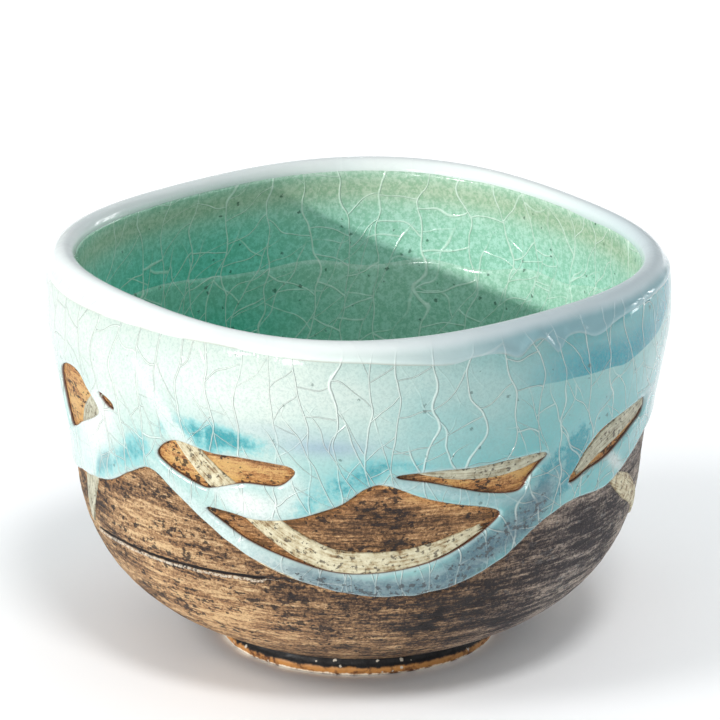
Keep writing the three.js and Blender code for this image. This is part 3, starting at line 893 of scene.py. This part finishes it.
def clay_relief(points):
    """The clay's own surface: turning lines, pits, a tooling groove and gouged patches, cut into the wall.
    Gives its offset from the smooth wall, the height above the groove, and how gouged the clay is."""
    turning = 0.07 * noise_at(points, 26, 3.1, flatten=22) + 0.05 * noise_at(points, 12, 7.7, flatten=16)
    pits = ease(noise_at(points, 1.5, 11.0), 0.42, 0.72)
    at_groove = points[:, 1] - tooling_groove(points[:, 0]) + 0.15 * noise_at(points, 1.6, 5.0)
    reach = ease(points[:, 0], -168, -160) * ease(points[:, 0], -104, -110)
    groove = np.exp(-((at_groove / 0.32) ** 2)) * reach
    gouges = spots(points, GOUGED) * ease(noise_at(points, 2.2, 2.0, flatten=1.6), 0, 0.5)
    cut = 0.12 + turning + 0.16 * pits + 0.5 * groove + 0.3 * gouges
    past_its_ends = 6 * np.sign(at_groove) * (1 - reach)
    return -np.maximum(cut, 0), np.clip(at_groove, -3, 3) + past_its_ends, gouges


def add_clay_body():
    """Rows go from the middle of the base outwards, up the outside, over the crest and down to the floor."""
    bottom = np.linspace(3, BASE_RADIUS - 0.4, 10)
    fine_share = outside.share_at(FINE_TOP)
    fine = np.linspace(0, fine_share, round(outside.length * fine_share / FINE_ROW))
    upper = np.linspace(fine_share, 1, 15)[1:]
    under = np.linspace(0, 1, 40)[1:-1]
    angle = once_round(COLUMNS)
    wall = np.concatenate([fine, upper])
    height = outside.height_at(wall)
    grid = rows_of(np.tile(angle, len(wall)), np.repeat(height, COLUMNS))
    relief, scratch, gouges = clay_relief(grid)
    fade = ease(grid[:, 1], BASE_HEIGHT, BASE_HEIGHT + 1.5) * ease(grid[:, 1], CREST_HEIGHT, CREST_HEIGHT - 3)
    wall_points = stand_off(outside, np.repeat(wall, COLUMNS), grid[:, 0], relief * fade)
    bottom_points = placed(np.repeat(bottom, COLUMNS), BASE_HEIGHT, np.tile(angle, len(bottom)))
    inner_points = stand_off(inside, np.repeat(under, COLUMNS), np.tile(angle, len(under)), 0.0)
    poles = MM * np.array([[0, 0, BASE_HEIGHT], [0, 0, FLOOR_HEIGHT]])
    vertices = np.concatenate([bottom_points, wall_points, inner_points, poles])
    rows = len(bottom) + len(wall) + len(under)

    bare = -depth_in_glaze(grid)
    in_window = ease(depth_in_windows(grid), -0.5, 0.5)
    halo = np.exp(-np.maximum(bare, 0) / 1.1)
    warm = np.clip(halo * (0.45 + 0.55 * in_window) + 0.3 * in_window, 0, 1)
    cloudy = ease(noise_at(grid, 16, 1.0, flatten=2.5), 0.1, 0.6)
    # Darker where gouged, in soft clouds, and in the patches of painted shade low on the front and at the
    # right.
    dark = np.clip(0.9 * gouges + 0.5 * cloudy + spots(grid, PAINTED_SHADE), 0, 2)
    tan = np.clip(spots(grid, TOASTED) + in_window * spots(grid, TOASTED_IN_WINDOWS), 0, 2.8)
    # The right side, where the clay is greyed: partly pale specks, partly painted sheen along the right edge.
    cool = ease(grid[:, 0], -78, -36) * ease(grid[:, 0], 30, -10) * (1 - in_window)
    fields = {"warm": warm, "dark": dark, "tan": tan, "cool": cool, "scratch": scratch}
    out_of_sight = (len(bottom) * COLUMNS, len(under) * COLUMNS + len(poles))
    fields = {name: np.pad(values, out_of_sight) for name, values in fields.items()}
    faces = lathe_faces(rows, COLUMNS) + pole_faces(rows, COLUMNS)
    add_piece("clay_body", clay_material(), vertices, faces, fields)


# ---- Foot ----


def add_foot_ring():
    columns = 360
    points_round = 60
    top = BASE_HEIGHT - 0.02
    inner = FOOT_RADIUS - FOOT_WALL
    corners = [
        (FOOT_RADIUS - 0.7, 0), (FOOT_RADIUS - 0.2, 0.15), (FOOT_RADIUS, 0.6), (FOOT_RADIUS + 0.2, 1.3),
        (FOOT_RADIUS + 0.1, 1.8), (FOOT_RADIUS - 0.45, 2.2), (FOOT_RADIUS - 0.7, 2.9),
        (FOOT_RADIUS - 0.6, 4.2), (FOOT_RADIUS - 0.5, top), (inner - 1, top), (inner - 0.4, 3),
        (inner, 0.8), (inner + 0.4, 0.1), (inner + 1, 0), (FOOT_RADIUS - 0.7, 0),
    ]
    path = np.array(corners, float)
    run = run_along(path)
    even = np.linspace(0, run[-1], points_round + 1)[:-1]
    radius, height = (np.interp(even, run, column) for column in path.T)
    angle = once_round(columns)
    all_angles = np.tile(angle, len(even))
    grid = rows_of(all_angles, np.repeat(even, columns))
    rough = 0.16 * noise_at(grid, 2.4, 4.0) + 0.1 * noise_at(grid, 0.9, 9.0)
    outer_side = np.repeat(radius > inner + 2, columns)
    free = ease(np.repeat(height, columns), 0.02, 0.5) * outer_side
    radii = np.repeat(radius, columns) - free * np.abs(rough)
    heights = np.repeat(height, columns)
    vertices = placed(radii, heights, all_angles)
    faces = ring_faces(len(even), columns)
    add_piece("foot_ring", foot_material(), vertices, faces, {"rise": heights})


# ---- Slip strokes ----


def noise_of(*columns):
    """Smooth noise, one value for each row of the columns."""
    return np.array([noise.noise(place) for place in zip(*np.broadcast_arrays(*columns))])


def add_slip_strokes():
    material = slip_material()
    lanes = np.linspace(-1, 1, 19)
    for number, (node, stroke) in enumerate(strokes.items()):
        count = len(stroke.line)
        ahead = np.gradient(stroke.line, axis=0)
        ahead /= length_of(ahead)[:, None]
        sideways = rows_of(ahead[:, 1], -ahead[:, 0])
        lane = np.tile(lanes, count)
        station = np.repeat(np.arange(count), len(lanes))
        ragged = noise_of(lanes * 4, number * 3.7, 0)
        pull = np.repeat((2 * stroke.share - 1) ** 9, len(lanes)) * np.tile(1.6 * ragged, count)
        middle = stroke.line[station] + ahead[station] * pull[:, None]
        wobble = 1 + 0.06 * noise_of(station * 0.35, number * 5.1, lane)
        rows = middle + sideways[station] * (lane * stroke.half[station] * wobble)[:, None]
        hairs = noise_of(station * 0.06, lane * 6, number * 2.3)
        thickness = rounded(1 - np.abs(lane), 0.25) * (0.2 + 0.08 * hairs)
        share = outside.share_at(rows[:, 1])
        top = stand_off(outside, share, rows[:, 0], thickness)
        under = stand_off(outside, share, rows[:, 0], -0.35)
        total = len(top)
        row, column = np.meshgrid(np.arange(count - 1), np.arange(len(lanes) - 1), indexing="ij")
        corner = (row * len(lanes) + column).reshape(-1, 1)
        quads = corner + np.array([0, 1, len(lanes) + 1, len(lanes)])
        triangles = np.concatenate([quads[:, [0, 2, 1]], quads[:, [0, 3, 2]]])
        faces = thick_sheet(triangles[:, ::-1], total)
        along = np.tile(station * STROKE_SPACING + 40 * number, 2)
        across = np.tile(lane * stroke.half[station], 2)
        fields = {"khaki": np.full(2 * total, stroke.khaki), "along": along, "across": across}
        add_piece(node, material, np.concatenate([top, under]), faces, fields)


# ---- Outer glaze ----

GLAZE = 0.65
UNDER_LIP = 1.8  # how far the outer glaze goes on up under the lip glaze
EDGE_STEPS = (0.14, 0.4, 0.8, 1.3)  # how far inside an edge the lines of points run along it
GRID_SPACING = 0.95
STAGGERED_ROW = 0.87  # the height of a triangle with equal sides, as a share of a side
GRID_LOW = 25
GRID_CLEAR = 1.75  # how far the grid keeps from an edge
FAR_FROM_EDGE = 5

# Patches of the glaze, each (angle, height, half width, half height, tilt, strength)
TEAL_POOLS = [
    (-115, 57.6, 9, 2, -6, 1.4), (-119, 55, 4, 2.2, -30, 0.8), (-97, 47.5, 9, 3, 32, 1.2),
    (-88, 52.4, 6, 2.6, 20, 0.4), (-80, 53.4, 6, 1.4, -8, 0.6), (-46, 49.6, 5, 8.5, -42, 1.9),
    (-50, 45.5, 4, 5, -30, 0.9), (-58, 38, 9, 2.2, 32, 0.7), (-146, 45.6, 6, 2.4, 25, 1.3),
    (-136, 51, 5, 3, 30, 0.8), (-155, 42, 5, 2.4, 0, 1), (-128, 57.4, 4, 2, 20, 0.5),
    (14, 51, 8, 3, -35, 0.9), (44, 43.6, 10, 2, -8, 0.8), (70, 55, 10, 2, 4, 0.9), (98, 46, 6, 3, 10, 0.9),
    (120, 44, 8, 3, -20, 0.7), (150, 38, 12, 3, 0, 0.6), (176, 42, 8, 3, 0, 0.6),
]
GREY_HAZE = [(-96, 57.6, 9, 1.7, 0, 1), (-106, 60.5, 12, 1.6, 0, 0.4), (36, 57, 14, 2, 0, 0.8)]
MILKY = [
    (-151, 50.5, 5.5, 5, 20, 1), (-146, 56, 3, 4, 30, 0.8), (-111, 44.8, 5.6, 2.5, -6, 1.1),
    (-103, 47.6, 4, 2.6, 60, 0.5), (-31, 44.5, 8, 1.2, -36, 0.8), (88, 47, 5, 3, 0, 0.8),
    (-118, 67, 22, 4, 0, 0.45),
]
BURIED = [(-43, 52, 6.5, 10, -42, 1.2)]  # the stroke under it doesn't show here
FRECKLED = [
    (-98, 30.6, 10, 2, -12, 0.8), (-84, 28.2, 16, 2, 0, 1.2), (-66, 34, 10, 3.6, 30, 1.2),
    (-54, 41, 7, 4, 50, 0.9), (50, 31, 18, 2.5, 0, 0.7),
]


def glaze_points():
    """Where the outer glaze's mesh has its points: lines along each edge, closer together towards it, and
    a staggered grid between. Gives the points and the loops of point numbers along the edges."""
    angle = once_round(round(360 / EDGE_SPACING))
    low = rows_of(angle, run_edge(angle))
    high = rows_of(angle, lip_line(angle) + UNDER_LIP)
    edges = [low, high[::-1], *windows]
    points = [*edges]
    loops = []
    start = 0
    for edge in edges:
        loops.append(start + np.arange(len(edge)))
        start += len(edge)
    for edge in (low, *windows):
        ahead = np.roll(edge, -1, axis=0) - np.roll(edge, 1, axis=0)
        ahead[:, 0] = wrapped(ahead[:, 0])
        out = rows_of(-ahead[:, 1], ahead[:, 0]) / length_of(ahead)[:, None]
        if edge is not low and area_of(edge) > 0:
            out = -out
        for step in EDGE_STEPS:
            ring = edge + out * step
            ring[:, 0] = wrapped(ring[:, 0])
            clear = np.abs(depth_in_glaze(ring) - step) < 0.06 + 0.1 * step
            spread = np.arange(len(ring)) % (1 if step < 1 else 2) == 0
            points.append(ring[clear & spread])
    rows = np.arange(GRID_LOW, CREST_HEIGHT + 1, GRID_SPACING * STAGGERED_ROW)
    columns = np.arange(-180, 180 - GRID_SPACING / 2, 360 / round(360 / GRID_SPACING))
    stagger = np.arange(len(rows)) % 2 * GRID_SPACING / 2
    grid = rows_of((columns + stagger[:, None]).ravel(), np.repeat(rows, len(columns)))
    jitter = rows_of(noise_at(grid, 0.7, 3.3), noise_at(grid, 0.7, 8.8))
    grid = grid + 0.12 * GRID_SPACING * jitter
    grid[:, 0] = wrapped(grid[:, 0])
    clear = (depth_in_glaze(grid) > GRID_CLEAR) & (depth_below_top(grid) > 0.5)
    points.append(grid[clear])
    return np.concatenate(points), loops


def area_of(outline):
    """Positive for an outline that runs anticlockwise."""
    after = np.roll(outline, -1, axis=0)
    return (outline[:, 0] * after[:, 1] - after[:, 0] * outline[:, 1]).sum() / 2


def depth_below_top(points):
    """How far each point lies below the outer glaze's top edge, which the lip glaze hides."""
    return lip_line(points[:, 0]) + UNDER_LIP - points[:, 1]


def in_outer_glaze(points):
    return (depth_in_glaze(points) > 0) & (depth_below_top(points) > 0)


def outer_glaze_fields(points, edge):
    """What the material reads at each point: where strokes lie under the glaze, where it pooled teal, hazed,
    turned milky or freckled, how blue it is, and the height above the low edge of the painted reflection
    across the shoulder, with how far that band reaches round."""
    angle, height = points.T
    slip = ease(depth_in_strokes(points), -0.6, 0.7)
    slip *= 1 - np.clip(spots(points, BURIED), 0, 1)
    near_edge = 0.3 * np.exp(-edge / 2.2) * (0.6 + noise_at(points, 9, 1.5))
    pool = np.clip(spots(points, TEAL_POOLS) + near_edge * (1 - slip), 0, 1.5) * (1 - 0.55 * slip)
    right = ease(angle, -112, -52) * ease(angle, 30, -10)
    behind = ease(angle, -30, 20) * ease(angle, 175, 95)
    # The low edge of the painted reflection across the right shoulder, by angle.
    reflection_low = np.interp(angle, [-60, -47, -32, -26, -18, -10], [65.9, 65.5, 64.4, 65.2, 66.6, 71])
    return {
        "slip": slip,
        "pool": pool,
        "haze": np.clip(spots(points, GREY_HAZE), 0, 1),
        "milk": np.clip(spots(points, MILKY), 0, 1),
        "edge": edge,
        "freckle": np.clip(spots(points, FRECKLED), 0, 1),
        "aqua": 0.12 + 0.3 * ease(height, 70, 48) + 0.5 * right + 0.4 * behind,
        # The painted reflection across the right shoulder: the height above its low edge, and how far round
        # it reaches.
        "deep": np.clip(height - reflection_low, -2, 8),
        "reach": ease(angle, -66, -38) * ease(angle, -4, -12),
    }


def add_outer_glaze():
    points, loops = glaze_points()
    triangles = triangulate(points, loops, in_outer_glaze)
    edge = np.maximum(depth_in_glaze(points), 0)
    edge[: sum(map(len, loops))] = 0
    top_loop = loops[1]
    edge[top_loop] = FAR_FROM_EDGE
    fields = outer_glaze_fields(points, edge)
    wave = 0.1 * noise_at(points, 9, 4.4) + 0.04 * noise_at(points, 3.5, 6.1)
    bead = 0.1 * np.exp(-(((edge - 1.1) / 1.0) ** 2))
    body = GLAZE + wave + bead + 0.14 * fields["slip"] + 0.12 * np.clip(fields["pool"], 0, 1)
    body = body + 0.12 * fields["milk"]
    below_lip = ease(depth_below_top(points), 0, UNDER_LIP)
    top = body * rounded(edge, 0.9) * (0.25 + 0.75 * below_lip)
    share = outside.share_at(points[:, 1])
    upper = stand_off(outside, share, points[:, 0], top + 0.02)
    under = stand_off(outside, share, points[:, 0], -0.12)
    fields = {name: np.tile(values, 2) for name, values in fields.items()}
    vertices = np.concatenate([upper, under])
    faces = thick_sheet(triangles, len(points))
    add_piece("outer_glaze", outer_glaze_material(), vertices, faces, fields)


# ---- Lip glaze and the two glazes inside ----


def there_and_back(steps):
    """Each step with True, on the way out along the top, then with False, on the way back underneath."""
    return [(step, True) for step in steps] + [(step, False) for step in steps[::-1]]


def add_lip_glaze():
    columns = 640
    under = -0.1
    angle = once_round(columns)
    first = outside.share_at(lip_line(angle))
    last = inside.share_at(LINING_TOP + 0.35 * noise_at(rows_of(angle, 0), 14, 5.0))
    steps = np.array([0, 0.02, 0.05, 0.1, 0.17, 0.26, 0.36, 0.48, 0.6, 0.72, 0.84, 0.93, 1])
    rows, below, seam = [], [], []

    def add_outside(step, on_top):
        from_edge = (1 - first) * step * outside.length
        from_crest = (1 - first) * (1 - step) * outside.length
        over_aqua = GLAZE * 0.9 * ease(from_edge, 2.2, 0.4)
        full = 0.1 + 0.16 * ease(from_edge, 0.2, 1.4) + 0.3 * ease(from_crest, 7, 0.5)
        full = full * rounded(from_edge, 0.7)
        share = first + (1 - first) * step
        rows.append(stand_off(outside, share, angle, over_aqua + (full if on_top else under)))
        below.append(from_crest)
        seam.append(np.exp(-((from_edge / 0.3) ** 2)))

    def add_inside(step, on_top):
        left = last * (1 - step) * inside.length
        full = 0.5 * rounded(left + 0.05, 1.2) + 0.06
        rows.append(stand_off(inside, last * step, angle, full if on_top else under))
        below.append(0 * angle)
        seam.append(0 * angle)

    for step in steps:
        add_outside(step, True)
    for step, on_top in there_and_back(steps[1:]):
        add_inside(step, on_top)
    for step in steps[::-1]:
        add_outside(step, False)
    vertices = np.concatenate(rows)
    # Painted shade and reflection: how far towards the right side, 0 to 1.
    side = np.tile(ease(angle, -100, -50) * ease(angle, 60, 0), len(rows))
    fields = {"below": np.concatenate(below), "seam": np.concatenate(seam), "side": side}
    faces = ring_faces(len(rows), columns)
    add_piece("lip_glaze", lip_glaze_material(), vertices, faces, fields)


def sunny_side(angle):
    """Painted light: the glaze inside is paler at the right and the back, where the key light falls, 0 to 1.
    """
    return ease(np.cos(np.radians(angle - 40)), -0.1, 0.95)


def add_inner_glaze():
    columns = 480
    angle = once_round(columns)
    first = inside.share_at(np.full(columns, LINING_TOP + 0.6))
    last = inside.share_at(well_line(angle) - 0.6)
    steps = np.linspace(0, 1, 34)
    under = -0.08
    rows, depth, ring = [], [], []
    for step, on_top in there_and_back(steps):
        share = first + (last - first) * step
        height = inside.height_at(share)
        grid = rows_of(angle, height)
        full = 0.5 + 0.06 * noise_at(grid, 10, 2.0, flatten=2)
        rows.append(stand_off(inside, share, angle, full if on_top else under))
        depth.append(ease(height, 78, 56))
        ring.append(np.exp(-(((height - 72) / 3.2) ** 2)))
    # Painted light, strongest where the key light falls.
    pale = np.tile(sunny_side(angle), len(rows))
    fields = {"depth": np.concatenate(depth), "ring": np.concatenate(ring), "pale": pale}
    material = inner_glaze_material("celadon_glaze", colour(182, 228, 212), colour(118, 216, 198), 0.12)
    faces = ring_faces(len(rows), columns)
    add_piece("inner_glaze", material, np.concatenate(rows), faces, fields)


def add_well_glaze():
    columns = 480
    angle = once_round(columns)
    edge = inside.share_at(well_line(angle))
    steps = np.append(np.linspace(0.02, 0.9, 60), [0.93, 0.955, 0.975, 0.99, 0.997, 1])
    under, over_middle, painted_light_middle = 0.3, 1.28, 0.3
    rows, depth, pale = [], [], []
    for step, on_top in there_and_back(steps):
        share = 1 + (edge - 1) * step
        grid = rows_of(angle, inside.height_at(share))
        left = (1 - step) * (1 - edge) * inside.length
        pooled = 0.5 * (1 - step) ** 2
        full = 0.5 + (0.28 + pooled) * rounded(left, 1.4) + 0.05 * noise_at(grid, 9, 6.0, flatten=1.5)
        rows.append(stand_off(inside, share, angle, full if on_top else under))
        depth.append(ease(left, 0, 14))
        # Painted light: from a set share at the floor's middle to that of the sunny side.
        pale.append(painted_light_middle + (sunny_side(angle) - painted_light_middle) * ease(step, 0, 0.6))
    count = len(rows)
    poles = MM * np.array([[0, 0, FLOOR_HEIGHT + over_middle], [0, 0, FLOOR_HEIGHT + under]])
    vertices = np.concatenate([*rows, poles])
    depth = np.append(np.concatenate(depth), [1, 1])
    pale = np.append(np.concatenate(pale), [painted_light_middle, painted_light_middle])
    material = inner_glaze_material("deep_green_glaze", colour(142, 210, 190), colour(96, 200, 180), 0.35)
    faces = lathe_faces(count, columns) + pole_faces(count, columns)
    fields = {"depth": depth, "ring": np.zeros(len(depth)), "pale": pale}
    add_piece("well_glaze", material, vertices, faces, fields)


add_clay_body()
add_foot_ring()
add_slip_strokes()
add_outer_glaze()
add_lip_glaze()
add_inner_glaze()
add_well_glaze()

# ---- Floor and light ----


def towards(azimuth, elevation):
    """The direction to a light."""
    turn, rise = math.radians(azimuth), math.radians(elevation)
    return Vector((math.cos(rise) * math.cos(turn), math.cos(rise) * math.sin(turn), math.sin(rise)))


def add_floor():
    mesh = bpy.data.meshes.new("floor")
    half = 12
    corners = [(-half, -half, 0), (half, -half, 0), (half, half, 0), (-half, half, 0)]
    mesh.from_pydata(corners, [], [[0, 1, 2, 3]])
    paint = Paint("floor")
    grain = paint.noise(4, detail=3)
    base = paint.mix(grain, colour(246, 246, 246), colour(250, 250, 250))
    mesh.materials.append(paint.finish(base, 0.9, paint.bump(grain, 0.1)))
    floor = add_object("floor", mesh)
    return floor


def light_only(lamp, name, objects):
    """The lamp leaves everything but these objects alone."""
    lit = bpy.data.collections.new(name)
    for one in objects:
        lit.objects.link(one)
    lamp.light_linking.receiver_collection = lit


def add_sun(name, azimuth, elevation, spread, energy, tint=(1, 1, 1)):
    """Even light from far off. More spread, in degrees, makes softer shadows."""
    data = bpy.data.lights.new(name, "SUN")
    data.energy = energy
    data.angle = math.radians(spread)
    data.color = tint
    lamp = add_object(name, data)
    lamp.rotation_euler = towards(azimuth, elevation).to_track_quat("Z", "Y").to_euler()
    return lamp


def add_soft_light(name, azimuth, elevation, width, height, power, distance=1.5):
    """A lit pane that the glaze reflects, with its sizes in metres."""
    data = bpy.data.lights.new(name, "AREA")
    data.shape = "RECTANGLE"
    data.size = width
    data.size_y = height
    data.energy = power
    lamp = add_object(name, data)
    way = towards(azimuth, elevation)
    lamp.location = VIEW_CENTRE + way * distance
    lamp.rotation_euler = way.to_track_quat("Z", "Y").to_euler()


def add_world():
    world = bpy.data.worlds.new("studio")
    world.use_nodes = True
    background = world.node_tree.nodes["Background"]
    background.inputs["Color"].default_value = (0.93, 0.97, 1, 1)
    background.inputs["Strength"].default_value = 0.64
    bpy.context.scene.world = world


floor = add_floor()
pieces = [one for one in bpy.data.objects if one.name.endswith(FINE)]
key = add_sun("key", -146.5, 13.7, spread=1.6, energy=2.6, tint=(1, 0.975, 0.94))
floor_left = add_sun("floor_left", -152, 42, spread=20, energy=1)
floor_front = add_sun("floor_front", -72, 60, spread=14, energy=1.15)
light_only(key, "lit_by_key", pieces)
light_only(floor_left, "lit_from_left", [floor])
light_only(floor_front, "lit_from_front", [floor])
add_soft_light("window", -121, 12, width=0.2, height=0.4, power=3)
for number, azimuth in enumerate((19, 25, 33)):
    add_soft_light(f"strip_{number}", azimuth, 9.5, width=0.04, height=0.46, power=0.55)
add_world()
bpy.context.scene.view_settings.view_transform = "Standard"
